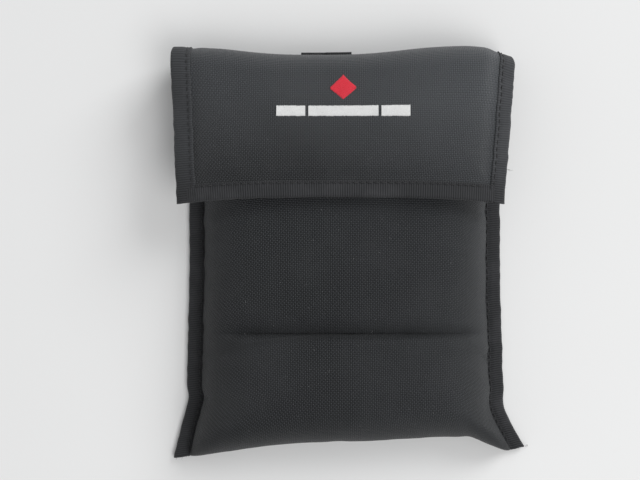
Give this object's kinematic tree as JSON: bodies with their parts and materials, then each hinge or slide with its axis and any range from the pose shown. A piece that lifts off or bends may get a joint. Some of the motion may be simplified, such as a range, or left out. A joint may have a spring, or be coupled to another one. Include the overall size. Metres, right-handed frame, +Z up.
{
  "type": "padded battery pouch",
  "caption": "Padded fabric pouch folded at the bottom, bound at the side seams, with a hook-and-loop flap over the mouth and a flat webbing belt loop on its back.",
  "frame": {"origin": "middle of the footprint, on the face the pouch lies on", "axes": "+X to the right, +Y from the folded bottom towards the mouth, +Z up from the resting face"},
  "size_m": [0.1822, 0.208, 0.0373],
  "materials": {
    "nylon": "woven, matt, slight sheen",
    "tape": "ribbed binding tape",
    "foam": "soft foam sheet",
    "lining": "heat-resisting woven lining",
    "webbing": "woven webbing",
    "hooks": "hook tape",
    "pile": "loop tape",
    "thread": "sewing thread",
    "red_thread": "satin-stitched embroidery",
    "white_thread": "satin-stitched embroidery"
  },
  "bodies": {
    "pouch": {"outer_shell": "nylon", "shell_padding": "foam", "shell_lining": "lining", "left_side_binding": "tape", "right_side_binding": "tape", "left_side_thread": "thread", "right_side_thread": "thread", "mouth_binding": "tape", "mouth_thread": "thread", "loop_strip": "pile", "belt_loop": "webbing", "belt_loop_lower_thread": "thread", "belt_loop_upper_thread": "thread"},
    "flap_bridge": {"bridge_panel": "nylon", "bridge_padding": "foam", "bridge_lining": "lining", "bridge_left_binding": "tape", "bridge_right_binding": "tape", "bridge_left_thread": "thread", "bridge_right_thread": "thread"},
    "flap": {"flap_panel": "nylon", "flap_padding": "foam", "flap_lining": "lining", "flap_left_binding": "tape", "flap_right_binding": "tape", "flap_front_binding": "tape", "flap_thread": "thread", "hook_strip": "hooks", "emblem_diamond": "red_thread", "emblem_left_bar": "white_thread", "emblem_middle_bar": "white_thread", "emblem_right_bar": "white_thread"}
  },
  "joints": [
    {"name": "mouth_fold", "type": "hinge", "parent": "pouch", "child": "flap_bridge", "pos_m": [-0.004, 0.09955, 0.00395], "axis": [-1, 0, 0], "range_deg": [0, 90]},
    {"name": "flap_fold", "type": "hinge", "parent": "flap_bridge", "child": "flap", "pos_m": [-0.004, 0.09955, 0.03255], "axis": [-1, 0, 0], "range_deg": [0, 90]}
  ]
}
